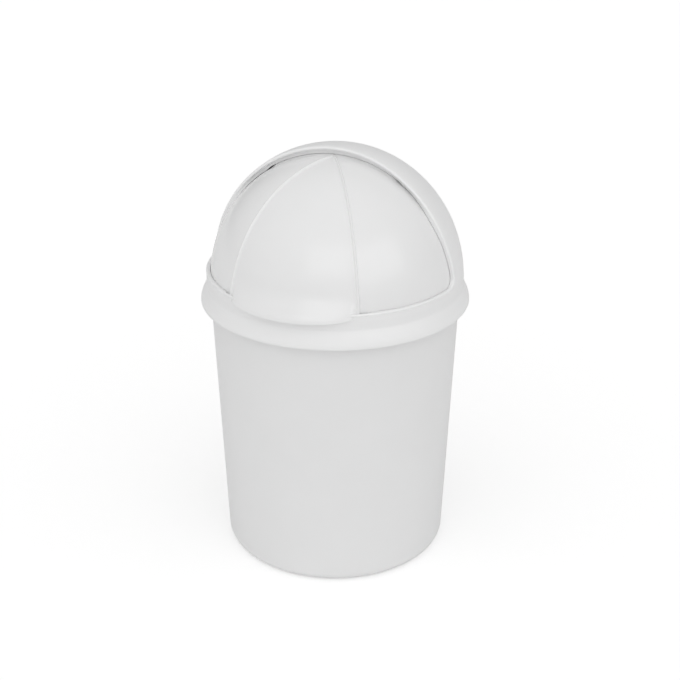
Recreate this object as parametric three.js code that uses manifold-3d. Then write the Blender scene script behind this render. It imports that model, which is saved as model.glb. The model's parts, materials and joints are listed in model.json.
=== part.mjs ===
// A round plastic wastebasket with a domed roll-top lid.
// A tapered bin carries a lid made of a skirt, a short neck and a dome that is open at the front.
// A quarter-sphere flap closes the opening, and rolls back under the dome on two headed pins.
// Millimetres, +Z up, the front of the basket faces -Y, and the origin is at the centre of the base.
import * as THREE from "three";
import { mergeVertices } from "three/addons/utils/BufferGeometryUtils.js";
import Module from "manifold-3d";

const wasm = await Module();
wasm.setup();

// ---- Driving dimensions ----
const AROUND = 72; // facets round a turned surface
const ARC_STEPS = 14; // facets along a quarter arc of a profile
const GAP = 0.3; // clearance between pieces that rest on each other
const FAR = 300; // past every piece, for cutters

const BASE_RADIUS = 108; // the wall's line meets the ground here
const TOP_RADIUS = 118; // the wall's outside where the skirt's edge hides it
const WALL = 2; // thickness of the bin
const RIM_TOP_Z = 262.5; // the bin's flat top, which carries the lid
const RIM_RADIUS = 123; // outside of the bin's turned-over rim
const RIM_DROP = 7; // how far the rim turns down
const BASE_FILLET = 9; // rounding between wall and base
const FOOT_RADIUS = 92; // inside of the flat ring that stands on the floor
const BASE_RECESS = 3; // the base inside the ring sits this much higher
const FLOOR_THICKNESS = 2.5;
const RIM_EDGE = 1; // the rim's bevelled top edge

const SKIRT_Z = 253.6; // lower edge of the lid's skirt
const SKIRT_RADIUS = 127.5;
const SHOULDER_Z = 268; // where the skirt's rounded shoulder meets the neck
const NECK_RADIUS = 121.6;
const LID_WALL = 1.8;
const CENTRE_Z = 273.3; // the dome's equator and the flap's pivot
const DOME_RISE = 127; // the dome's height over its equator
const LEDGE_RADIUS = RIM_RADIUS + 0.4; // the skirt's inside, round the bin's rim
const SILL_Z = 283.3; // lower edge of the opening
const ARCH_Y = -9.6; // the dome's front edge, an arch from side to side
const ARCH_LEAN = 6.5; // the arch leans back by this much at the top of the dome
const LEAN_Z = 330; // and begins to lean here
const LEAN_STEPS = 10;
const CORNER_RADIUS = 10; // the opening's lower corners
const CURTAIN_SET_BACK = 2.2; // a rib inside the dome, this far behind the arch, hides the gap over the flap
const CURTAIN_THICKNESS = 1.6;
const CURTAIN_RADIUS = 120.2; // its lower edge, clear of the raised middle panel, which passes under it
const SEAL_RADIUS = 118.4; // the same rib at the sides and behind the sill, close to the flap
const SEAL_X = 68; // the close rib starts here, at each side
const SEAL_Z = 276.3; // and ends here at the bottom

const FLAP_RADIUS = 118;
const FLAP_WALL = 1.8;
const FLAP_BACK_Y = 3; // the flap's top edge, hidden behind the arch
const FLAP_LOW_Z = 277.4; // the flap's lower edge, hidden behind the sill
const PETAL_RAISE = 1.2; // the middle panel stands proud of the flap
const PETAL_TIP_Y = -2.4;
const PETAL_HALF_ANGLE = 33.5; // degrees between the panel's middle and its side
const PETAL_END_Z = 275.2; // lowest point of the pull lip
const PETAL_SIDE_Z = 284.5; // the lip's lower edge at the panel's sides
const FLARE_TOP_Z = 300; // above this the panel follows the flap's sphere
const LIP_OUTSIDE = [
  // radius and height of points down the flared foot of the panel
  [118.3, 294],
  [120.8, 288.8],
  [123.5, 284.9],
  [125.3, 280],
  [125.9, PETAL_END_Z],
];
const LIP_INSIDE = [
  [124.1, PETAL_END_Z],
  [123.4, 279.8],
  [122.3, 283.8],
  [119.4, 286.8],
  [117, 291],
];

const PIN_RADIUS = 3;
const PIN_CLEARANCE = 0.2;
const PIN_HEAD_RADIUS = 5.5;
const PIN_HEAD_X = 110.3; // inner face of the head
const PIN_HEAD_THICKNESS = 2;
const PIN_END_X = 119.7;
const EAR_X = 112.6; // inner face of the flap's pivot disc
const EAR_THICKNESS = 2.2;
const EAR_RADIUS = 9.3;
const CUP_RADIUS = 7.5; // the hollow round the lid's pivot boss
const BOSS_RADIUS = 6.5;
const BOSS_X = EAR_X + EAR_THICKNESS + GAP; // inner end of the boss
const EAR_BACK_Y = 9.3;
const EAR_INNER_X = 88; // the flap's ears start here, at each side
const EAR_FRONT_Y = -44;
const EAR_TOP_Z = 333;
const BALL_START = -6; // degrees below the equator where the flap's sphere starts, under its lower edge
const OVERLAP = 1; // how far joined shapes run into each other

// ---- Shapes and booleans ----
const radians = (degrees) => (degrees * Math.PI) / 180;

// A closed geometry as a manifold-3d solid.
function solid(geometry) {
  const bare = geometry.clone();
  bare.deleteAttribute("normal");
  bare.deleteAttribute("uv");
  const merged = mergeVertices(bare, 1e-4);
  return new wasm.Manifold(
    new wasm.Mesh({
      numProp: 3,
      vertProperties: new Float32Array(merged.attributes.position.array),
      triVerts: new Uint32Array(merged.index.array),
    }),
  );
}

// A manifold-3d solid as a three.js geometry.
function geometryOf(body) {
  const mesh = body.getMesh();
  const positions = new Float32Array(mesh.numVert * 3);
  for (let i = 0; i < mesh.numVert; i++) {
    positions.set(mesh.vertProperties.subarray(i * mesh.numProp, i * mesh.numProp + 3), i * 3);
  }
  const geometry = new THREE.BufferGeometry();
  geometry.setAttribute("position", new THREE.BufferAttribute(positions, 3));
  geometry.setIndex(new THREE.BufferAttribute(mesh.triVerts, 1));
  geometry.computeVertexNormals();
  return geometry;
}

// A profile of [radius, z] points, turned round the Z axis. The profile closes on itself.
function turned(profile, around = AROUND) {
  const points = [...profile, profile[0]].map(([r, z]) => new THREE.Vector2(Math.max(r, 0), z));
  const geometry = new THREE.LatheGeometry(points, around);
  geometry.rotateX(Math.PI / 2);
  const body = solid(geometry);
  return body.volume() < 0 ? solid(flipped(geometry)) : body;
}

// The same geometry with every face turned round.
function flipped(geometry) {
  const copy = geometry.clone();
  const index = copy.index.array;
  for (let i = 0; i < index.length; i += 3) {
    [index[i + 1], index[i + 2]] = [index[i + 2], index[i + 1]];
  }
  return copy;
}

// Points on an elliptical arc from one angle to another, in degrees above the level.
function arc(centreR, centreZ, radiusR, radiusZ, from, to, steps = ARC_STEPS) {
  return Array.from({ length: steps + 1 }, (_, i) => {
    const a = radians(from + ((to - from) * i) / steps);
    return [centreR + radiusR * Math.cos(a), centreZ + radiusZ * Math.sin(a)];
  });
}

// A block from one corner to the other.
function block(low, high) {
  const size = high.map((v, i) => v - low[i]);
  const geometry = new THREE.BoxGeometry(...size);
  geometry.translate(...low.map((v, i) => v + size[i] / 2));
  return solid(geometry);
}

// A cylinder along X between two distances, on the pivot's axis.
function axle(radius, fromX, toX, sides = 32) {
  const geometry = new THREE.CylinderGeometry(radius, radius, Math.abs(toX - fromX), sides);
  geometry.rotateZ(Math.PI / 2);
  geometry.translate((fromX + toX) / 2, 0, CENTRE_Z);
  return solid(geometry);
}

// An outline in the YZ plane, drawn from side to side of the basket.
function acrossX(shape, curveSegments = ARC_STEPS) {
  const geometry = new THREE.ExtrudeGeometry(shape, { depth: 2 * FAR, bevelEnabled: false, curveSegments });
  geometry.translate(0, 0, -FAR);
  geometry.rotateX(Math.PI / 2);
  geometry.rotateZ(Math.PI / 2);
  return solid(geometry);
}

// ---- The bin ----
const wallRadius = (z) => BASE_RADIUS + ((TOP_RADIUS - BASE_RADIUS) * z) / SKIRT_Z;

function binBody() {
  const filletR = wallRadius(BASE_FILLET) - BASE_FILLET;
  const insideFillet = BASE_FILLET - WALL;
  const floorZ = BASE_RECESS + FLOOR_THICKNESS;
  const turnDownZ = RIM_TOP_Z - RIM_DROP;
  return turned([
    [0, BASE_RECESS],
    [FOOT_RADIUS - BASE_RECESS / 2, BASE_RECESS],
    [FOOT_RADIUS, 0],
    ...arc(filletR, BASE_FILLET, BASE_FILLET, BASE_FILLET, -90, 0, 6),
    [wallRadius(turnDownZ), turnDownZ],
    [wallRadius(RIM_TOP_Z), RIM_TOP_Z - WALL],
    [RIM_RADIUS - WALL, RIM_TOP_Z - WALL],
    [RIM_RADIUS - WALL, turnDownZ],
    [RIM_RADIUS, turnDownZ],
    [RIM_RADIUS, RIM_TOP_Z - RIM_EDGE],
    [RIM_RADIUS - RIM_EDGE, RIM_TOP_Z],
    [wallRadius(RIM_TOP_Z) - WALL, RIM_TOP_Z],
    ...arc(filletR, floorZ + insideFillet, insideFillet, insideFillet, 0, -90, 5),
    [0, floorZ],
  ]);
}

// ---- The lid ----
// Points up the arch, seen from the side: upright at first, then leaning back to the top of the dome.
function archLine(behind) {
  const top = CENTRE_Z + DOME_RISE;
  return Array.from({ length: LEAN_STEPS + 1 }, (_, i) => {
    const share = i / LEAN_STEPS;
    return [ARCH_Y + behind + ARCH_LEAN * share ** 2, LEAN_Z + (top - LEAN_Z) * share];
  });
}

// A slab that follows the arch, from one distance behind it to another.
function slabBehindArch(near, far) {
  const front = archLine(near);
  const back = archLine(far);
  const shape = new THREE.Shape();
  shape.moveTo(ARCH_Y + near, SEAL_Z);
  for (const [y, z] of front) {
    shape.lineTo(y, z);
  }
  for (const [y, z] of back.reverse()) {
    shape.lineTo(y, z);
  }
  shape.lineTo(ARCH_Y + far, SEAL_Z);
  shape.closePath();
  return acrossX(shape);
}

// The opening, seen from the side: everything in front of the arch and above the sill.
function openingCutter() {
  const shape = new THREE.Shape();
  shape.moveTo(-FAR, SILL_Z);
  shape.lineTo(ARCH_Y - CORNER_RADIUS, SILL_Z);
  shape.absarc(ARCH_Y - CORNER_RADIUS, SILL_Z + CORNER_RADIUS, CORNER_RADIUS, -Math.PI / 2, 0, false);
  for (const [y, z] of archLine(0)) {
    shape.lineTo(y, z);
  }
  shape.lineTo(ARCH_Y + ARCH_LEAN, 2 * FAR);
  shape.lineTo(-FAR, 2 * FAR);
  shape.closePath();
  return acrossX(shape);
}

// The solid between a sphere of this radius and the middle of the dome's wall, behind the arch and below the sill.
function innerRib(radius) {
  const middle = LID_WALL / 2;
  const shell = turned([
    ...arc(0, CENTRE_Z, NECK_RADIUS - middle, DOME_RISE - middle, 0, 90),
    ...arc(0, CENTRE_Z, radius, radius, 90, 0),
  ]);
  return shell.subtract(openingCutter());
}

function lidHood() {
  const shoulderR = SKIRT_RADIUS - NECK_RADIUS;
  const shoulderZ = SHOULDER_Z - SKIRT_Z;
  const innerR = NECK_RADIUS - LID_WALL;
  const ledgeZ = RIM_TOP_Z + GAP;
  const shell = turned([
    ...arc(NECK_RADIUS, SKIRT_Z, shoulderR, shoulderZ, 0, 90, 6),
    ...arc(0, CENTRE_Z, NECK_RADIUS, DOME_RISE, 0, 90),
    ...arc(0, CENTRE_Z, innerR, DOME_RISE - LID_WALL, 90, 0),
    [innerR, ledgeZ],
    [LEDGE_RADIUS, ledgeZ],
    [LEDGE_RADIUS, ledgeZ - RIM_DROP],
    [SKIRT_RADIUS - LID_WALL, SKIRT_Z],
  ]);
  let lid = shell.subtract(openingCutter());
  const curtainBack = CURTAIN_SET_BACK + CURTAIN_THICKNESS;
  const topZone = block([-SEAL_X, -FAR, SEAL_Z], [SEAL_X, FAR, 2 * FAR]);
  const curtain = slabBehindArch(CURTAIN_SET_BACK, curtainBack).intersect(topZone);
  lid = lid.add(innerRib(CURTAIN_RADIUS).intersect(curtain));
  const closeRib = innerRib(SEAL_RADIUS);
  for (const side of [-1, 1]) {
    const ends = [side * SEAL_X, side * FAR].sort((a, b) => a - b);
    const sideZone = block([ends[0], -FAR, SEAL_Z], [ends[1], ARCH_Y + curtainBack, 2 * FAR]);
    const boss = axle(BOSS_RADIUS, side * BOSS_X, side * (NECK_RADIUS - OVERLAP));
    const socket = axle(PIN_RADIUS + PIN_CLEARANCE, side * (BOSS_X - OVERLAP), side * (PIN_END_X + PIN_CLEARANCE));
    lid = lid.add(closeRib.intersect(sideZone)).add(boss).subtract(socket);
  }
  return lid;
}

// ---- The flap ----
// The middle panel: a proud skin that flares out over the sill into a pull lip.
function petal() {
  const outer = FLAP_RADIUS + PETAL_RAISE;
  const inner = FLAP_RADIUS - FLAP_WALL / 2;
  const elevation = (radius) => (Math.asin((FLARE_TOP_Z - CENTRE_Z) / radius) * 180) / Math.PI;
  const skin = turned([
    ...arc(0, CENTRE_Z, outer, outer, 90, elevation(outer)),
    ...LIP_OUTSIDE,
    ...LIP_INSIDE,
    ...arc(0, CENTRE_Z, inner, inner, elevation(inner), 90),
  ]);

  const wedge = new THREE.Shape();
  const spread = FAR * Math.tan(radians(PETAL_HALF_ANGLE));
  wedge.moveTo(0, PETAL_TIP_Y);
  wedge.lineTo(-spread, PETAL_TIP_Y - FAR);
  wedge.lineTo(spread, PETAL_TIP_Y - FAR);
  wedge.closePath();
  const wedgeGeometry = new THREE.ExtrudeGeometry(wedge, { depth: 2 * FAR, bevelEnabled: false });

  const halfWidth = outer * Math.sin(radians(PETAL_HALF_ANGLE));
  const outline = new THREE.Shape();
  outline.moveTo(-halfWidth, PETAL_SIDE_Z);
  outline.absellipse(0, PETAL_SIDE_Z, halfWidth, PETAL_SIDE_Z - PETAL_END_Z, Math.PI, 2 * Math.PI, false);
  outline.lineTo(halfWidth, 2 * FAR);
  outline.lineTo(-halfWidth, 2 * FAR);
  outline.closePath();
  const outlineGeometry = new THREE.ExtrudeGeometry(outline, { depth: FAR, bevelEnabled: false });
  outlineGeometry.rotateX(Math.PI / 2);

  return skin.intersect(solid(wedgeGeometry)).intersect(solid(outlineGeometry));
}

function swingFlap() {
  const inner = FLAP_RADIUS - FLAP_WALL;
  const ball = turned([
    ...arc(0, CENTRE_Z, FLAP_RADIUS, FLAP_RADIUS, BALL_START, 90),
    ...arc(0, CENTRE_Z, inner, inner, 90, BALL_START),
  ]);
  const front = block([-FAR, -FAR, FLAP_LOW_Z], [FAR, FLAP_BACK_Y, 2 * FAR]);
  let flap = ball.intersect(front).add(petal());
  for (const side of [-1, 1]) {
    const ends = [side * EAR_INNER_X, side * FAR].sort((a, b) => a - b);
    const earZone = block([ends[0], EAR_FRONT_Y, FLAP_LOW_Z], [ends[1], EAR_BACK_Y, EAR_TOP_Z]);
    const disc = axle(EAR_RADIUS, side * EAR_X, side * (FLAP_RADIUS - OVERLAP));
    const cup = axle(CUP_RADIUS, side * (EAR_X + EAR_THICKNESS), side * FAR);
    const hole = axle(PIN_RADIUS + PIN_CLEARANCE, side * (EAR_X - OVERLAP), side * FAR);
    flap = flap.add(ball.intersect(earZone)).add(disc).subtract(cup).subtract(hole);
  }
  return flap;
}

// ---- The pivot pins ----
function pivotPin(side) {
  const neckX = PIN_HEAD_X + PIN_HEAD_THICKNESS;
  const head = axle(PIN_HEAD_RADIUS, side * PIN_HEAD_X, side * neckX, 24);
  const shank = axle(PIN_RADIUS, side * (neckX - OVERLAP), side * PIN_END_X, 24);
  return head.add(shank);
}

// ---- Assembly ----
const plastic = (color) => new THREE.MeshStandardMaterial({ color, roughness: 0.38, metalness: 0 });
const binWhite = plastic(0xe6e6e6);
const lidWhite = plastic(0xeaeaea);
const flapWhite = plastic(0xececec);
const pinWhite = plastic(0xdedede);

const basket = new THREE.Group();
const pieces = [
  ["bin_body", binBody(), binWhite],
  ["lid_hood", lidHood(), lidWhite],
  ["swing_flap", swingFlap(), flapWhite],
  ["pivot_pin_left", pivotPin(-1), pinWhite],
  ["pivot_pin_right", pivotPin(1), pinWhite],
];
for (const [name, body, material] of pieces) {
  const mesh = new THREE.Mesh(geometryOf(body), material);
  mesh.name = name;
  basket.add(mesh);
}

export default basket;
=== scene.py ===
# A white plastic wastebasket with a domed roll-top lid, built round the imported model's frame.
# The basket's front faces -Y. Shapes are worked out in millimetres and made in metres.
import json
import math

import bmesh
import bpy
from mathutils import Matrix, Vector


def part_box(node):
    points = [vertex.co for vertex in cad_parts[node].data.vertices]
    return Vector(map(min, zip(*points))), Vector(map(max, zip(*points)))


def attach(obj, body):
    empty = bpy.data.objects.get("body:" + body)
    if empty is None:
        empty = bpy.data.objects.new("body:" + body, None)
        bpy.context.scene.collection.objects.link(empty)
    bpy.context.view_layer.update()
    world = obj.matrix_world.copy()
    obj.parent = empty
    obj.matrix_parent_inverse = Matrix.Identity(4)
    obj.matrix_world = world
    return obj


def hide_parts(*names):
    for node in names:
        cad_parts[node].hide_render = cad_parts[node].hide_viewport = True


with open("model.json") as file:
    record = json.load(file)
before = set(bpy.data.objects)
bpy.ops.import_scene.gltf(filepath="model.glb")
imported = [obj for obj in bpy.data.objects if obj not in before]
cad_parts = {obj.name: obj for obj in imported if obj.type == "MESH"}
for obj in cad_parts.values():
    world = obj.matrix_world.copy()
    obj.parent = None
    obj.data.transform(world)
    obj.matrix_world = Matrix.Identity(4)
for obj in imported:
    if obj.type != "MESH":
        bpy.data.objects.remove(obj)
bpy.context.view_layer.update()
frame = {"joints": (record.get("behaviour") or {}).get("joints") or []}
MM = 0.001

# ---- Sizes that come from the frame ----
bin_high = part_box("bin_body")[1]
lid_low, lid_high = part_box("lid_hood")
pivot = next(joint for joint in frame["joints"] if joint["name"] == "flap_roll")["pos_m"]

LID_MARGIN = 0.05  # the lid is drawn this much inside the CAD lid's box
BIN_MARGIN = 0.1  # and the bin this much inside the CAD bin's box
CENTRE_Z = pivot[2] / MM  # the dome's equator and the flap's pivot
SKIRT_R = lid_high.x / MM - LID_MARGIN  # the lid's widest radius
SKIRT_Z = lid_low.z / MM + LID_MARGIN  # the skirt's lower edge
DOME_TOP = lid_high.z / MM - LID_MARGIN
RIM_R = bin_high.x / MM - BIN_MARGIN
RIM_Z = bin_high.z / MM - BIN_MARGIN

# ---- The bin's sizes ----
BASE_R = 108.0  # the wall's outer radius at the ground, before the base's edge is rounded
TOP_R = 118.0  # and at the height of the skirt's lower edge
WALL = 2.0
BASE_FILLET = 9.0
FLOOR_Z = 5.6  # the inside of the base
UNDERSIDE_Z = 3.0  # the base is raised by this much inside the foot ring
FOOT_R = 92.0  # the foot ring's inner radius
FOOT_SLOPE = 2.0  # the foot ring's inner side slopes over this width
GATE_R = 3.2  # a small disc in the middle of the underside, left by the moulding
GATE_HEIGHT = 0.8
RING_RADII = (30.0, 60.0)  # two shallow rings on the underside
RING_HEIGHT = 0.4
RING_WIDTH = 2.0
RING_SLOPE = 0.5
RIM_DEPTH = 7.0  # the turned-over rim hangs down by this much
RIM_ROUND = 1.4  # rounding of the rim's outer top edge
RIM_ROUND_IN = 1.2  # and of its inner one
CHAMFER = 0.6  # a softened edge

# ---- The lid's sizes ----
NECK_R = 121.55  # the dome's outer radius at its foot
NECK_Z = 270.4  # the top of the skirt's curve
LID_WALL = 1.9
LEDGE_GAP = 0.35  # between the lid and the bin's rim
SKIRT_DEPTH = 6.0  # the skirt's inside is upright for this far below the ledge
SKIRT_EDGE = 0.9  # rounding of the skirt's lower edge
SKIRT_BOW = 0.55  # the skirt's curve is this share a plain bow, and otherwise an S
SKIRT_BOW_POWER = 1.9
SILL_Z = 283.3  # the opening's lower edge
ARCH_Y = -9.6  # the opening's sides
ARCH_LEAN = 6.5  # the arch leans back by this much at the top of the dome
LEAN_Z = 330.0  # and begins to lean here
CORNER_R = 10.0  # the opening's lower corners
CORNER_STEPS = 12
BEAD_R = 1.45  # a rounded bead along the opening's edge
BEAD_INSET = 0.65  # it sits inwards by this much on the arch
BEAD_INSET_OVER = 70.0  # and moves in over this height above the sill
FAR = 200.0  # beyond the basket on every side
MIDDLE_R = NECK_R - LID_WALL / 2  # half-way through the dome's wall
MIDDLE_RISE = DOME_TOP - CENTRE_Z - LID_WALL / 2

# ---- The curtain and the seal: ribs inside the dome that close the gap to the flap ----
CURTAIN_SET_BACK = 3.2  # the curtain's front face is behind the arch by this much in the middle
CURTAIN_THICKNESS = 1.6
CURTAIN_TOP_R = 119.4  # clear of the flap's own ridges, which pass under the curtain's middle
CURTAIN_END = 6  # degrees above the equator where the curtain ends
SEAL_R = 118.4  # inner radius of the curtain's sides and of the seal, close to the flap
SEAL_X = 68.0  # the seal starts this far from the middle, beside the pull lip
SEAL_RISE = 1.1  # the seal, and the curtain's sides, stand into the opening by this much
FORWARD_FROM = 38.0  # degrees from the top where the curtain's front face starts to come forward
FORWARD_OVER = 20.0  # and how many degrees that takes
CLOSE_FROM = 32.5  # degrees from the top where the curtain starts to close in on the flap
CLOSE_OVER = 3.5

# ---- The flap's sizes ----
FLAP_R = 118.0
FLAP_WALL = 1.9
LIP_WALL = 1.7
FLAP_TIP_Y = -1.8  # where the two ridges meet on the top of the flap
FLAP_BACK_Y = 3.0  # the flap's hidden back edge
FLAP_FOOT_Z = 276.6  # its hidden lower edge
RIDGE_DEG = 31.0  # the flap's ridges, to each side of its middle
RIDGE_HEIGHT = 1.15
RIDGE_HALF = 1.6
PANEL_STEP = 0.5  # from the foot of a ridge down to the middle panel
STEP_WIDTH = 3.2
STEP_FADE = 8.0  # the step fades out where the panel's half width is less than this
PANEL_DIP = 0.7  # the middle panel is this much flatter than the rest of the flap
PANEL_HALF = 60.0  # where its half width is this
BAND_HEIGHT = 1.1  # a raised band along the flap's top edge, under the curtain
BAND_LEAD = 1.2  # it starts this far in front of the curtain
BAND_SLOPE = 1.4
BAND_HALF = 57.0  # and ends this far to each side of the middle
BAND_FADE = 5.0
LIP_END_Z = 276.3  # the pull lip's lower edge in the middle
LIP_SIDE_Z = 284.4  # and at its ends
LIP_R = 125.7
LIP_SPREAD = 0.6  # the lip ends this many degrees outside the ridges
LIP_ROUND = 2.3  # the shape of the lip's edge: 2 is an ellipse, and more is squarer
LIP_STEEP = 9  # how steeply the lip runs out at its ends
FLARE_RISE = 30.0  # the panel starts to bend outwards this high above the pivot
FLARE_BEND = 1.7  # more than 1 makes it bend later
FLARE_LEAST = 0.35  # the share of the bend that is left at the lip's ends
FLAP_LOW = FLAP_FOOT_Z - CENTRE_Z  # the flap's foot, above the pivot
FLAP_TIP_HALF = math.sqrt(FLAP_R ** 2 - FLAP_TIP_Y ** 2)  # the flap's radius across its tip

# ---- The pivots' sizes: each end is a distance from the middle of the basket ----
PIN_R = 3.0
HOLE_R = 3.2
HEAD_R = 5.5
EAR_R = 9.3
BOSS_R = 6.5
HEAD_ENDS = (112.3, 110.3)
PIN_ENDS = (112.0, 119.6)
EAR_ENDS = (116.6, 112.7)
EYE_ENDS = (111.0, 119.0)
BOSS_ENDS = (120.3, 115.1)
SOCKET_ENDS = (112.0, 119.9)


# ---- Curve helpers ----
def ease(t):
    """0 below 0, 1 above 1, and a smooth rise between."""
    t = min(max(t, 0.0), 1.0)
    return t * t * (3 - 2 * t)


def arc(centre_r, centre_z, radius_r, radius_z, start, end, steps):
    """Points on an elliptical arc between two angles in degrees above the level."""
    points = []
    for i in range(steps + 1):
        a = math.radians(start + (end - start) * i / steps)
        points.append((centre_r + radius_r * math.cos(a), centre_z + radius_z * math.sin(a)))
    return points


def line(start, end, steps):
    """Points along a straight line, without its last one."""
    points = []
    for i in range(steps):
        t = i / steps
        points.append((start[0] + (end[0] - start[0]) * t, start[1] + (end[1] - start[1]) * t))
    return points


# ---- Mesh helpers ----
def mesh_object(name, verts, faces, smooth_deg=40.0):
    """A mesh object from points in millimetres, smooth except at edges sharper than smooth_deg."""
    mesh = bpy.data.meshes.new(name)
    mesh.from_pydata([Vector(v) * MM for v in verts], [], faces)
    mesh.validate()
    piece = bpy.data.objects.new(name, mesh)
    bpy.context.scene.collection.objects.link(piece)
    clean(piece)
    shade(piece, smooth_deg)
    return piece


def clean(piece, distance=0.01):
    """Merges points closer than distance in millimetres, and turns every face outwards."""
    work = bmesh.new()
    work.from_mesh(piece.data)
    bmesh.ops.remove_doubles(work, verts=work.verts, dist=distance * MM)
    bmesh.ops.dissolve_degenerate(work, edges=work.edges, dist=distance * MM)
    bmesh.ops.recalc_face_normals(work, faces=work.faces)
    work.to_mesh(piece.data)
    work.free()


def shade(piece, smooth_deg):
    """Smooth shading that breaks at edges sharper than smooth_deg."""
    piece.data.shade_smooth()
    work = bmesh.new()
    work.from_mesh(piece.data)
    for edge in work.edges:
        edge.smooth = edge.calc_face_angle(0.0) < math.radians(smooth_deg)
    work.to_mesh(piece.data)
    work.free()


def finished(piece, smooth_deg):
    """The piece after its last boolean, cleaned and shaded."""
    clean(piece, 0.02)
    shade(piece, smooth_deg)
    return piece


def turned(name, profile, around=288):
    """A closed profile of (radius, z) points turned round the Z axis."""
    count = len(profile)
    verts = []
    for i in range(around):
        a = 2 * math.pi * i / around
        verts += [(r * math.cos(a), r * math.sin(a), z) for r, z in profile]
    faces = []
    for i in range(around):
        j = (i + 1) % around
        for k in range(count):
            m = (k + 1) % count
            faces.append((i * count + k, j * count + k, j * count + m, i * count + m))
    return mesh_object(name, verts, faces)


def boolean(piece, other, operation):
    """Cuts piece with other, or joins them, and removes other."""
    modifier = piece.modifiers.new(operation, "BOOLEAN")
    modifier.operation = operation
    modifier.solver = "EXACT"
    modifier.object = other
    bpy.context.view_layer.update()
    graph = bpy.context.evaluated_depsgraph_get()
    result = bpy.data.meshes.new_from_object(piece.evaluated_get(graph))
    piece.modifiers.clear()
    old = piece.data
    piece.data = result
    bpy.data.meshes.remove(old)
    bpy.data.objects.remove(other)


def tube(name, path, radius, sides=14):
    """A closed tube of round section along a closed path of points."""
    count = len(path)
    points = [Vector(p) for p in path]
    centre = Vector((0, 0, CENTRE_Z))
    verts = []
    for i, point in enumerate(points):
        tangent = (points[(i + 1) % count] - points[i - 1]).normalized()
        outwards = (point - centre).normalized()
        side = tangent.cross(outwards).normalized()
        up = side.cross(tangent).normalized()
        for k in range(sides):
            a = 2 * math.pi * k / sides
            verts.append(point + (side * math.cos(a) + up * math.sin(a)) * radius)
    faces = []
    for i in range(count):
        j = (i + 1) % count
        for k in range(sides):
            m = (k + 1) % sides
            faces.append((i * sides + k, i * sides + m, j * sides + m, j * sides + k))
    return mesh_object(name, verts, faces)


def rod(name, radius, way, ends, bevel, sides=48):
    """A rod on the pivot's axis, left (-1) or right (1) by way, with its second end rounded by bevel."""
    from_x, to_x = way * ends[0], way * ends[1]
    along = 1 if to_x > from_x else -1
    profile = [(0, from_x), (radius, from_x), (radius, to_x - along * bevel)]
    for degrees in (30, 60, 90):
        a = math.radians(degrees)
        r = radius - bevel + bevel * math.cos(a)
        profile.append((r, to_x - along * bevel + along * bevel * math.sin(a)))
    profile.append((0, to_x))
    verts = []
    for i in range(sides):
        a = 2 * math.pi * i / sides
        verts += [(x, r * math.cos(a), CENTRE_Z + r * math.sin(a)) for r, x in profile]
    faces = []
    count = len(profile)
    for i in range(sides):
        j = (i + 1) % sides
        for k in range(count - 1):
            faces.append((i * count + k, j * count + k, j * count + k + 1, i * count + k + 1))
    return mesh_object(name, verts, faces)


# ---- The bin ----
def wall_radius(z):
    """The outer radius of the bin's tapered wall at this height."""
    return BASE_R + (TOP_R - BASE_R) * z / SKIRT_Z


def underside():
    """The raised underside with its disc and rings, out to the foot ring."""
    disc_z = UNDERSIDE_Z - GATE_HEIGHT
    profile = [(0.0, disc_z), (GATE_R, disc_z), (GATE_R + CHAMFER, UNDERSIDE_Z - 0.1)]
    ring_z = UNDERSIDE_Z - RING_HEIGHT
    for r in RING_RADII:
        profile.append((r, UNDERSIDE_Z))
        profile.append((r + RING_SLOPE, ring_z))
        profile.append((r + RING_WIDTH - RING_SLOPE, ring_z))
        profile.append((r + RING_WIDTH, UNDERSIDE_Z))
    profile.append((FOOT_R - FOOT_SLOPE, UNDERSIDE_Z))
    profile += [(FOOT_R - CHAMFER, 0.5), (FOOT_R, 0.05), (FOOT_R + CHAMFER, 0.0)]
    return profile


def turned_over_rim(drop_z):
    """The rim from the top of the outer wall: out, down to its lower edge, and up to its inner side."""
    wall_r = wall_radius(RIM_Z)
    inner_r = RIM_R - WALL
    under_z = RIM_Z - WALL
    lip_z = drop_z + 0.05
    profile = [
        (wall_radius(drop_z), drop_z),
        (wall_r + 0.2, under_z - 0.8),
        (wall_r + 1.0, under_z),
        (inner_r - CHAMFER, under_z),
        (inner_r, under_z - CHAMFER),
        (inner_r, drop_z + 0.3),
        (inner_r + 0.4, lip_z),
        (RIM_R - 0.4, lip_z),
        (RIM_R, drop_z + 0.4),
        (RIM_R, RIM_Z - RIM_ROUND),
    ]
    profile += arc(RIM_R - RIM_ROUND, RIM_Z - RIM_ROUND, RIM_ROUND, RIM_ROUND, 15, 90, 5)
    top_in = wall_r - WALL
    profile += arc(top_in + RIM_ROUND_IN, RIM_Z - RIM_ROUND_IN, RIM_ROUND_IN, RIM_ROUND_IN, 90, 180, 5)
    return profile


def make_bin():
    """The tapered bin: underside, rounded edge, wall, turned-over rim and the inside."""
    fillet_r = wall_radius(BASE_FILLET) - BASE_FILLET
    drop_z = RIM_Z - RIM_DEPTH
    inside = BASE_FILLET - WALL
    wall_start = BASE_FILLET + 1
    inner_top = (wall_radius(RIM_Z) - WALL - 0.05, RIM_Z - 2 * RIM_ROUND_IN)
    inner_low_z = 14.0
    profile = underside()
    profile += arc(fillet_r, BASE_FILLET, BASE_FILLET, BASE_FILLET, -90, 0, 16)
    profile += line((wall_radius(wall_start), wall_start), (wall_radius(drop_z), drop_z), 24)
    profile += turned_over_rim(drop_z)
    profile += line(inner_top, (wall_radius(inner_low_z) - WALL, inner_low_z), 22)
    profile += arc(fillet_r, FLOOR_Z + inside, inside, inside, 0, -90, 10)
    profile.append((0.0, FLOOR_Z))
    return turned("bin_shell", profile)


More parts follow.
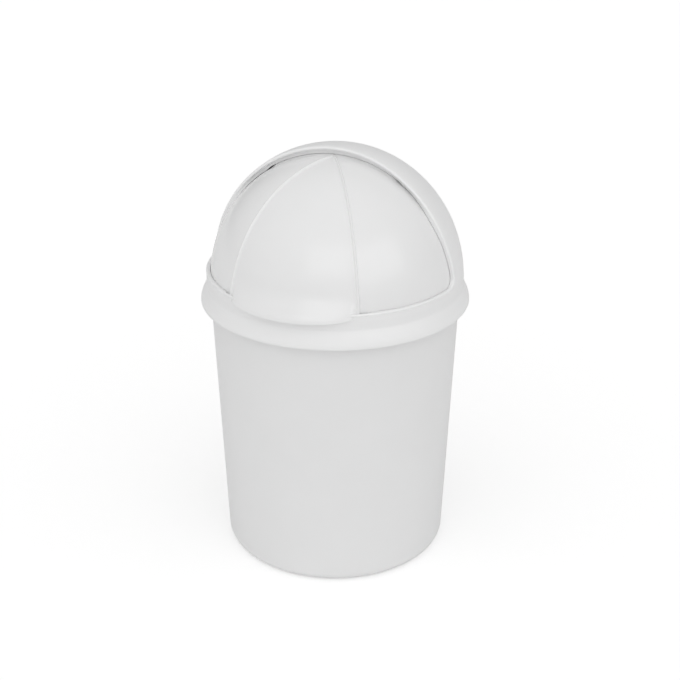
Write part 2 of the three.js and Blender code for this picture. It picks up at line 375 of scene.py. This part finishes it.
# ---- The lid ----
def skirt_outside():
    """The skirt's rounded outside, from its lower edge up to the neck."""
    points = [(SKIRT_R - SKIRT_EDGE, SKIRT_Z), (SKIRT_R - 0.25, SKIRT_Z + 0.25)]
    points.append((SKIRT_R, SKIRT_Z + SKIRT_EDGE))
    height = NECK_Z - SKIRT_Z - SKIRT_EDGE
    depth = SKIRT_R - NECK_R
    steps = 14
    for i in range(1, steps + 1):
        t = i / steps
        fall = 0.5 - 0.5 * math.cos(math.pi * t)
        bow = t ** SKIRT_BOW_POWER
        mix = SKIRT_BOW * bow + (1 - SKIRT_BOW) * fall
        points.append((SKIRT_R - depth * mix, SKIRT_Z + SKIRT_EDGE + height * t))
    return points


def arch_y(z):
    """The arch seen from the side: upright at its sides, and leaning back towards the top."""
    return ARCH_Y + ARCH_LEAN * max((z - LEAN_Z) / (DOME_TOP - LEAN_Z), 0.0) ** 2


def opening_cutter(smaller=0.0):
    """A block across the basket, above the sill and in front of the arch, or smaller by this much."""
    top_z = 460.0
    outline = [(-FAR, SILL_Z), (ARCH_Y - CORNER_R, SILL_Z)]
    corner = arc(ARCH_Y - CORNER_R, SILL_Z + CORNER_R, CORNER_R, CORNER_R, -90, 0, CORNER_STEPS)
    outline += corner[1:]
    outline += [(arch_y(z), z) for z in range(int(LEAN_Z), int(DOME_TOP) + 8, 4)]
    outline += [(arch_y(DOME_TOP), top_z), (-FAR, top_z)]
    outline = [(y - smaller, z + smaller) for y, z in outline]
    count = len(outline)
    verts = [(-FAR, y, z) for y, z in outline] + [(FAR, y, z) for y, z in outline]
    faces = [tuple(range(count)), tuple(range(2 * count - 1, count - 1, -1))]
    for k in range(count):
        m = (k + 1) % count
        faces.append((k, m, count + m, count + k))
    return mesh_object("opening_cutter", verts, faces)


def hood_point(y, z):
    """Half-way through the hood's wall at this y and z, on the right-hand side."""
    lift = max(z - CENTRE_Z, 0.0) / MIDDLE_RISE
    across = MIDDLE_R * MIDDLE_R * max(1 - lift * lift, 0.0) - y * y
    return Vector((math.sqrt(max(across, 0.0)), y, z))


def arch_point(angle, behind=0.0):
    """Half-way through the hood's wall, this far behind the arch, at this angle above +X in radians."""
    z = CENTRE_Z + MIDDLE_RISE * math.sin(angle)
    for _ in range(4):
        y = arch_y(z) + behind
        half = math.sqrt(1 - (y / MIDDLE_R) ** 2)
        z = CENTRE_Z + MIDDLE_RISE * half * math.sin(angle)
    return Vector((MIDDLE_R * half * math.cos(angle), y, z))


def opening_edge():
    """The line round the opening: over the arch, round both lower corners, and along the sill."""
    arch_steps, sill_steps = 110, 80
    corner_top = SILL_Z + CORNER_R
    side = math.sqrt(1 - (ARCH_Y / MIDDLE_R) ** 2)
    lowest = math.asin((corner_top - CENTRE_Z) / (MIDDLE_RISE * side))
    right = []
    for i in range(arch_steps + 1):
        right.append(arch_point(math.pi / 2 + (lowest - math.pi / 2) * i / arch_steps))
    for y, z in arc(ARCH_Y - CORNER_R, corner_top, CORNER_R, CORNER_R, 0, -90, CORNER_STEPS)[1:]:
        right.append(hood_point(y, z))
    last = right[-1]
    start = math.atan2(last.x, -last.y)
    reach = math.hypot(last.x, last.y)
    for i in range(1, sill_steps + 1):
        a = start * (1 - i / sill_steps)
        right.append(Vector((reach * math.sin(a), -reach * math.cos(a), SILL_Z)))
    centre = Vector((0, 0, CENTRE_Z))
    inset = []
    for point in right:
        depth = BEAD_INSET * ease((point.z - SILL_Z) / BEAD_INSET_OVER)
        inset.append(point - (point - centre).normalized() * depth)
    left = [Vector((-p.x, p.y, p.z)) for p in reversed(inset[1:-1])]
    return inset + left


def curtain():
    """A crescent plate that hangs from the dome along the arch, down to just above the flap."""
    steps = 120
    verts = []
    for front in (True, False):
        for i in range(steps + 1):
            degrees = CURTAIN_END + (180 - 2 * CURTAIN_END) * i / steps
            from_top = abs(90 - degrees)
            behind = CURTAIN_SET_BACK
            if front:
                behind -= (CURTAIN_SET_BACK + SEAL_RISE) * ease((from_top - FORWARD_FROM) / FORWARD_OVER)
            else:
                behind += CURTAIN_THICKNESS
            top = arch_point(math.radians(degrees), behind)
            closed = ease((from_top - CLOSE_FROM) / CLOSE_OVER)
            low_r = CURTAIN_TOP_R + (SEAL_R - CURTAIN_TOP_R) * closed
            low = math.sqrt(low_r ** 2 - top.y ** 2)
            share = min(low / math.hypot(top.x, top.z - CENTRE_Z), 0.999)
            verts.append(top)
            verts.append((top.x * share, top.y, CENTRE_Z + (top.z - CENTRE_Z) * share))
    row = 2 * (steps + 1)
    faces = []
    for i in range(steps):
        a = 2 * i
        faces.append((a, a + 1, a + 3, a + 2))
        faces.append((row + a, row + a + 2, row + a + 3, row + a + 1))
        faces.append((a, a + 2, row + a + 2, row + a))
        faces.append((a + 1, row + a + 1, row + a + 3, a + 3))
    for a in (0, 2 * steps):
        faces.append((a, row + a, row + a + 1, a + 1))
    return mesh_object("curtain", verts, faces)


def block_pair(name, low, high):
    """A block on the right-hand side and its mirror image on the left, as one mesh."""
    sides = ((0, 1, 3, 2), (4, 6, 7, 5), (0, 4, 5, 1), (2, 3, 7, 6), (0, 2, 6, 4), (1, 5, 7, 3))
    verts, faces = [], []
    for way in (-1, 1):
        base = len(verts)
        for x in (low[0], high[0]):
            for y in (low[1], high[1]):
                for z in (low[2], high[2]):
                    verts.append((way * x, y, z))
        for face in sides:
            faces.append(tuple(base + k for k in face))
    return mesh_object(name, verts, faces)


def seal():
    """A rib behind the sill and its corners, to each side of the pull lip."""
    low_deg, high_deg, steps = 2, 60, 40
    profile = arc(0, CENTRE_Z, MIDDLE_R, MIDDLE_RISE, low_deg, high_deg, steps)
    profile += arc(0, CENTRE_Z, SEAL_R, SEAL_R, high_deg, low_deg, steps)
    ring = turned("seal", profile)
    boolean(ring, opening_cutter(SEAL_RISE), "DIFFERENCE")
    keep_low = (SEAL_X, -150.0, CENTRE_Z + 3.0)
    keep_high = (150.0, ARCH_Y + 2.0, CENTRE_Z + 60.0)
    boolean(ring, block_pair("keep", keep_low, keep_high), "INTERSECT")
    return ring


def make_lid():
    """Skirt, neck and dome in one moulding, with the opening, its bead, the ribs and the pivot bosses."""
    rise = DOME_TOP - CENTRE_Z
    inner = NECK_R - LID_WALL
    ledge_r = RIM_R + LEDGE_GAP
    ledge_z = RIM_Z + LEDGE_GAP
    profile = skirt_outside()
    profile += arc(0, CENTRE_Z, NECK_R, rise, 0, 90, 72)
    profile += arc(0, CENTRE_Z, inner, rise - LID_WALL, 90, 0, 64)
    profile += [
        (inner, ledge_z + 0.5),
        (inner + 0.5, ledge_z),
        (ledge_r - CHAMFER, ledge_z),
        (ledge_r, ledge_z - CHAMFER),
        (ledge_r, ledge_z - SKIRT_DEPTH),
        (ledge_r + CHAMFER, SKIRT_Z + 0.5),
        (ledge_r + 1.0, SKIRT_Z),
    ]
    lid = turned("lid_moulding", profile)
    boolean(lid, opening_cutter(), "DIFFERENCE")
    boolean(lid, tube("opening_bead", opening_edge(), BEAD_R), "UNION")
    boolean(lid, curtain(), "UNION")
    boolean(lid, seal(), "UNION")
    for way in (-1, 1):
        boolean(lid, rod("boss", BOSS_R, way, BOSS_ENDS, bevel=0.5), "UNION")
        boolean(lid, rod("socket", HOLE_R, way, SOCKET_ENDS, bevel=0.3), "DIFFERENCE")
    return finished(lid, 35)


# ---- The flap: points and directions here start from the pivot's centre ----
def sphere_point(turn, y):
    """A point on the flap's sphere at this y, turned this far from the top towards +X."""
    half = math.sqrt(FLAP_R ** 2 - y * y)
    return Vector((half * math.sin(turn), y, half * math.cos(turn)))


def foot_point(azimuth):
    """The point of the flap's hidden lower edge at this azimuth in degrees."""
    level = math.sqrt(FLAP_R ** 2 - FLAP_LOW ** 2)
    a = math.radians(azimuth)
    return Vector((level * math.sin(a), -level * math.cos(a), FLAP_LOW))


def last_azimuth():
    """The azimuth in degrees where the flap's foot meets its top edge."""
    return math.degrees(math.atan2(math.sqrt(FLAP_TIP_HALF ** 2 - FLAP_LOW ** 2), -FLAP_TIP_Y))


def flap_azimuths():
    """Azimuths of the flap's columns, close together at the ridges."""
    near = 1.9  # degrees to each side of a ridge
    panel_steps, ridge_steps, side_steps = 30, 26, 70
    start = RIDGE_DEG - near
    right = [start - start * i / panel_steps for i in range(panel_steps + 1)]
    right += [start + 2 * near * k / ridge_steps for k in range(1, ridge_steps + 1)]
    start = RIDGE_DEG + near
    width = last_azimuth() - start
    spread = 1.4  # more than 1 sets the first columns closer together
    right += [start + width * (i / side_steps) ** spread for i in range(1, side_steps + 1)]
    return sorted(set(round(sign * a, 6) for a in right for sign in (-1, 1)))


def ridge_normal(side):
    """The plane through a ridge, as a normal that points to the flap's middle."""
    normal = foot_point(side * RIDGE_DEG).cross(sphere_point(0.0, FLAP_TIP_Y)).normalized()
    return normal if normal.dot(Vector((0, -1, 0))) > 0 else -normal


def surface_lift(way, normals):
    """The flap's height over its sphere: ridges, the flatter panel between them, and the hidden band."""
    left, right = (FLAP_R * math.asin(max(-1.0, min(1.0, way.dot(n)))) for n in normals)
    inside = min(left, right)
    lift = 0.0
    if abs(inside) < RIDGE_HALF:
        lift += RIDGE_HEIGHT * 0.5 * (1 + math.cos(math.pi * inside / RIDGE_HALF))
    if inside > 0:
        half_width = max((left + right) / 2, 0.1)
        share = min(inside / half_width, 1.0)
        lift -= PANEL_STEP * ease(inside / STEP_WIDTH) * min(half_width / STEP_FADE, 1.0)
        lift -= PANEL_DIP * (half_width / PANEL_HALF) * (1 - (1 - share) ** 2)
    curtain_y = arch_y(CENTRE_Z + way.z * FLAP_R) + CURTAIN_SET_BACK
    covered = ease((way.y * FLAP_R - curtain_y + BAND_LEAD) / BAND_SLOPE)
    covered *= 1 - ease((abs(way.x) * FLAP_R - BAND_HALF) / BAND_FADE)
    return lift + max(BAND_HEIGHT - lift, 0.0) * covered


def flared(point, azimuth, inset):
    """Bends the foot of the middle panel out over the sill and down into the pull lip."""
    share = min(abs(azimuth) / (RIDGE_DEG + LIP_SPREAD), 1.0)
    if share >= 1.0 or point.z > FLARE_RISE:
        return point
    tongue = math.sqrt(max(1 - share ** LIP_ROUND, 0.0))  # 1 in the middle of the lip, 0 at its ends
    end_z = LIP_END_Z + (LIP_SIDE_Z - LIP_END_Z) * (1 - tongue) - CENTRE_Z
    depth = (FLARE_RISE - point.z) / (FLARE_RISE - FLAP_LOW)
    new_z = FLARE_RISE + (end_z - FLARE_RISE) * depth
    drop = (FLARE_RISE - new_z) / (FLARE_RISE - (LIP_END_Z - CENTRE_Z))
    push = ease(drop) ** FLARE_BEND
    push *= FLARE_LEAST + (1 - FLARE_LEAST) * tongue
    push *= min(1.0, (1 - share) * LIP_STEEP)
    level = math.hypot(point.x, point.y)
    new_level = level + (LIP_R - inset - level) * push
    scale = new_level / level
    return Vector((point.x * scale, point.y * scale, new_z))


def column_ways(azimuth, rows, back_rows):
    """Directions up one column of the flap, from the foot to the top edge and on to the back edge."""
    share = max((abs(azimuth) - RIDGE_DEG) / (last_azimuth() - RIDGE_DEG), 0.0)
    turn = math.copysign(math.acos(FLAP_LOW / FLAP_TIP_HALF) * share, azimuth)
    foot = foot_point(azimuth).normalized()
    head = sphere_point(turn, FLAP_TIP_Y).normalized()
    swing = foot.angle(head, 0.0)
    spread = 1.3  # more than 1 sets the lowest rows closer together
    ways = []
    for i in range(rows + 1):
        t = (i / rows) ** spread
        way = foot
        if swing > 1e-5:
            foot_share = math.sin((1 - t) * swing) / math.sin(swing)
            head_share = math.sin(t * swing) / math.sin(swing)
            way = foot * foot_share + head * head_share
        ways.append(way.normalized())
    for i in range(1, back_rows + 1):
        y = FLAP_TIP_Y + (FLAP_BACK_Y - FLAP_TIP_Y) * i / back_rows
        ways.append(sphere_point(turn, y).normalized())
    return ways


def make_flap():
    """The quarter-sphere flap with its ridges, pull lip and pivot ears."""
    rows, back_rows = 96, 5
    azimuths = flap_azimuths()
    normals = [ridge_normal(-1), ridge_normal(1)]
    centre = Vector((0, 0, CENTRE_Z))
    outer, inner = [], []
    for azimuth in azimuths:
        for way in column_ways(azimuth, rows, back_rows):
            lift = surface_lift(way, normals)
            outer.append(centre + flared(way * (FLAP_R + lift), azimuth, 0.0))
            inner.append(centre + flared(way * (FLAP_R - FLAP_WALL + min(lift, 0)), azimuth, LIP_WALL))
    count = rows + back_rows + 1
    total = len(azimuths)
    shift = total * count
    faces = []
    for c in range(total - 1):
        for i in range(count - 1):
            a, b = c * count + i, (c + 1) * count + i
            faces.append((a, b, b + 1, a + 1))
            faces.append((shift + a, shift + a + 1, shift + b + 1, shift + b))
        foot_a, foot_b = c * count, (c + 1) * count
        faces.append((foot_a, shift + foot_a, shift + foot_b, foot_b))
        head_a, head_b = foot_a + count - 1, foot_b + count - 1
        faces.append((head_a, head_b, shift + head_b, shift + head_a))
    for side in (0, total - 1):
        for i in range(count - 1):
            a = side * count + i
            faces.append((a, a + 1, shift + a + 1, shift + a))
    flap = mesh_object("flap_panel", outer + inner, faces)
    for way in (-1, 1):
        boolean(flap, rod("ear", EAR_R, way, EAR_ENDS, bevel=0.6), "UNION")
        boolean(flap, rod("eye", HOLE_R, way, EYE_ENDS, bevel=0.1), "DIFFERENCE")
    return finished(flap, 50)


# ---- The pivot pins ----
def make_pin(name, way):
    """A headed pin that joins the flap's ear to the lid's boss."""
    pin = rod(name, PIN_R, way, PIN_ENDS, bevel=0.6, sides=40)
    boolean(pin, rod("head", HEAD_R, way, HEAD_ENDS, bevel=0.5, sides=40), "UNION")
    return finished(pin, 35)


# ---- Materials ----
IOR = 1.49  # polypropylene
TINT = 0.012  # how much darker the cloudy patches are
GLOSS_RANGE = 0.04  # roughness varies by this much to each side
CLOUD_SCALE = 18.0
SMEAR_SCALE = 60.0
GRAIN_SCALE = 1400.0
GRAIN_HEIGHT = 0.0001
GLOW_DEPTH = 0.004


def noise(nodes, links, place, scale, detail):
    """A noise texture fixed to the piece, as its output."""
    texture = nodes.new("ShaderNodeTexNoise")
    texture.inputs["Scale"].default_value = scale
    texture.inputs["Detail"].default_value = detail
    links.new(place.outputs["Object"], texture.inputs["Vector"])
    return texture.outputs["Fac"]


def plastic(name, brightness, roughness, grain, glow):
    """White moulded plastic: faintly cloudy, with a fine grain; glow is its subsurface weight."""
    material = bpy.data.materials.new(name)
    material.use_nodes = True
    nodes, links = material.node_tree.nodes, material.node_tree.links
    shader = nodes["Principled BSDF"]
    shader.inputs["IOR"].default_value = IOR
    shader.inputs["Subsurface Weight"].default_value = glow
    shader.inputs["Subsurface Radius"].default_value = (1.0, 0.98, 0.95)
    shader.inputs["Subsurface Scale"].default_value = GLOW_DEPTH
    place = nodes.new("ShaderNodeTexCoord")

    shades = nodes.new("ShaderNodeValToRGB")
    dark, light = shades.color_ramp.elements
    dark.position = 0.3
    dark.color = (brightness - TINT, brightness - TINT, brightness - TINT, 1.0)
    light.position = 0.7
    light.color = (brightness, brightness, brightness, 1.0)
    links.new(noise(nodes, links, place, CLOUD_SCALE, 3.0), shades.inputs["Fac"])
    links.new(shades.outputs["Color"], shader.inputs["Base Color"])

    gloss = nodes.new("ShaderNodeMapRange")
    gloss.inputs["To Min"].default_value = roughness - GLOSS_RANGE
    gloss.inputs["To Max"].default_value = roughness + GLOSS_RANGE
    links.new(noise(nodes, links, place, SMEAR_SCALE, 4.0), gloss.inputs["Value"])
    links.new(gloss.outputs["Result"], shader.inputs["Roughness"])

    bump = nodes.new("ShaderNodeBump")
    bump.inputs["Strength"].default_value = grain
    bump.inputs["Distance"].default_value = GRAIN_HEIGHT
    links.new(noise(nodes, links, place, GRAIN_SCALE, 2.0), bump.inputs["Height"])
    links.new(bump.outputs["Normal"], shader.inputs["Normal"])
    return material


finishes = {
    "bin_plastic": plastic("bin_plastic", brightness=0.86, roughness=0.42, grain=0.12, glow=0.12),
    "lid_plastic": plastic("lid_plastic", brightness=0.89, roughness=0.45, grain=0.1, glow=0.15),
    "flap_plastic": plastic("flap_plastic", brightness=0.878, roughness=0.19, grain=0.03, glow=0.15),
    "pin_plastic": plastic("pin_plastic", brightness=0.82, roughness=0.4, grain=0.1, glow=0.12),
}


def settle(piece, body, node, slot):
    """Puts a finished piece on its body, in its finish, in place of its CAD node."""
    piece.data.materials.clear()
    piece.data.materials.append(finishes[slot])
    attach(piece, body)
    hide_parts(node)


settle(make_bin(), "bin", "bin_body", "bin_plastic")
settle(make_lid(), "lid", "lid_hood", "lid_plastic")
settle(make_flap(), "flap", "swing_flap", "flap_plastic")
settle(make_pin("flap_pin_left", -1), "lid", "pivot_pin_left", "pin_plastic")
settle(make_pin("flap_pin_right", 1), "lid", "pivot_pin_right", "pin_plastic")


# ---- Floor, light and camera: distances are in metres ----
WHITE = (1.0, 1.0, 1.0, 1.0)
FLOOR_REACH = 40.0
FLOOR_GLOW = 0.06  # a little light from the floor on the basket
FLOOR_WHITE = 0.345  # and enough to make it white in the picture
ROOM_DIM = 0.0  # the room's light from behind and below
ROOM_BRIGHT = 1.12  # and from in front and above
ROOM_FRONT, ROOM_HEIGHT = 22, 47  # the brightest side's azimuth and elevation in degrees
LIGHT_DISTANCE = 2.4
CAMERA_AZIMUTH = math.radians(21.2)
CAMERA_DISTANCE = 1.1666
CAMERA_HEIGHT = 0.7410
CAMERA_PITCH = 0.43  # radians below the level
CAMERA_ASIDE = 0.0039  # radians to the right of the basket's axis
CAMERA_LENS = 70.0


def make_floor():
    """A plain white floor, far larger than the view."""
    mesh = bpy.data.meshes.new("floor")
    corners = [(x * FLOOR_REACH, y * FLOOR_REACH, 0) for x, y in ((-1, -1), (1, -1), (1, 1), (-1, 1))]
    mesh.from_pydata(corners, [], [(0, 1, 2, 3)])
    floor = bpy.data.objects.new("floor", mesh)
    bpy.context.scene.collection.objects.link(floor)
    material = bpy.data.materials.new("pale_floor")
    material.use_nodes = True
    nodes, links = material.node_tree.nodes, material.node_tree.links
    shader = nodes["Principled BSDF"]
    shader.inputs["Base Color"].default_value = (0.8, 0.8, 0.8, 1.0)
    shader.inputs["Roughness"].default_value = 0.9
    shader.inputs["Specular IOR Level"].default_value = 0.0
    shader.inputs["Emission Color"].default_value = WHITE
    seen = nodes.new("ShaderNodeLightPath")
    glow = nodes.new("ShaderNodeMapRange")
    glow.inputs["To Min"].default_value = FLOOR_GLOW
    glow.inputs["To Max"].default_value = FLOOR_WHITE
    links.new(seen.outputs["Is Camera Ray"], glow.inputs["Value"])
    links.new(glow.outputs["Result"], shader.inputs["Emission Strength"])
    mesh.materials.append(material)


def direction(azimuth, elevation):
    """Towards a point at this azimuth from the basket's front, and this height, in degrees."""
    a, e = math.radians(azimuth), math.radians(elevation)
    return Vector((math.sin(a) * math.cos(e), -math.cos(a) * math.cos(e), math.sin(e)))


def soft_panel(name, azimuth, elevation, width, height, power):
    """A rectangular light aimed at the dome, which shows only as a highlight on the plastic."""
    data = bpy.data.lights.new(name, "AREA")
    data.shape = "RECTANGLE"
    data.size = width
    data.size_y = height
    data.energy = power
    light = bpy.data.objects.new(name, data)
    bpy.context.scene.collection.objects.link(light)
    way = direction(azimuth, elevation)
    light.location = way * LIGHT_DISTANCE + Vector((0, 0, CENTRE_Z * MM))
    light.rotation_euler = way.to_track_quat("Z", "Y").to_euler()
    light.visible_diffuse = False
    light.visible_transmission = False


def make_world():
    """A white room, brightest from above and in front, which the camera sees as plain white."""
    world = bpy.data.worlds.new("studio")
    bpy.context.scene.world = world
    world.use_nodes = True
    nodes, links = world.node_tree.nodes, world.node_tree.links
    room = nodes["Background"]
    way = nodes.new("ShaderNodeTexCoord")
    facing = nodes.new("ShaderNodeVectorMath")
    facing.operation = "DOT_PRODUCT"
    facing.inputs[1].default_value = direction(ROOM_FRONT, ROOM_HEIGHT)
    links.new(way.outputs["Generated"], facing.inputs[0])
    level = nodes.new("ShaderNodeMapRange")
    level.inputs["From Min"].default_value = -1.0
    level.inputs["To Min"].default_value = ROOM_DIM
    level.inputs["To Max"].default_value = ROOM_BRIGHT
    links.new(facing.outputs["Value"], level.inputs["Value"])
    links.new(level.outputs["Result"], room.inputs["Strength"])
    room.inputs["Color"].default_value = WHITE
    backdrop = nodes.new("ShaderNodeBackground")
    backdrop.inputs["Color"].default_value = WHITE
    seen = nodes.new("ShaderNodeLightPath")
    choose = nodes.new("ShaderNodeMixShader")
    links.new(seen.outputs["Is Camera Ray"], choose.inputs["Fac"])
    links.new(room.outputs["Background"], choose.inputs[1])
    links.new(backdrop.outputs["Background"], choose.inputs[2])
    links.new(choose.outputs["Shader"], nodes["World Output"].inputs["Surface"])


def make_camera():
    """The camera looks down at the basket from a little to the right of its front."""
    data = bpy.data.cameras.new("camera")
    data.lens = CAMERA_LENS
    data.sensor_width = 36.0
    camera = bpy.data.objects.new("camera", data)
    bpy.context.scene.collection.objects.link(camera)
    right = CAMERA_DISTANCE * math.sin(CAMERA_AZIMUTH)
    front = -CAMERA_DISTANCE * math.cos(CAMERA_AZIMUTH)
    camera.location = (right, front, CAMERA_HEIGHT)
    camera.rotation_euler = (math.pi / 2 - CAMERA_PITCH, 0.0, CAMERA_AZIMUTH - CAMERA_ASIDE)
    bpy.context.scene.camera = camera


make_floor()
make_world()
soft_panel("sheen", azimuth=66, elevation=28, width=1.9, height=1.3, power=8.5)
soft_panel("window", azimuth=12, elevation=34, width=1.5, height=1.2, power=5.5)
make_camera()
bpy.context.scene.view_settings.view_transform = "Standard"
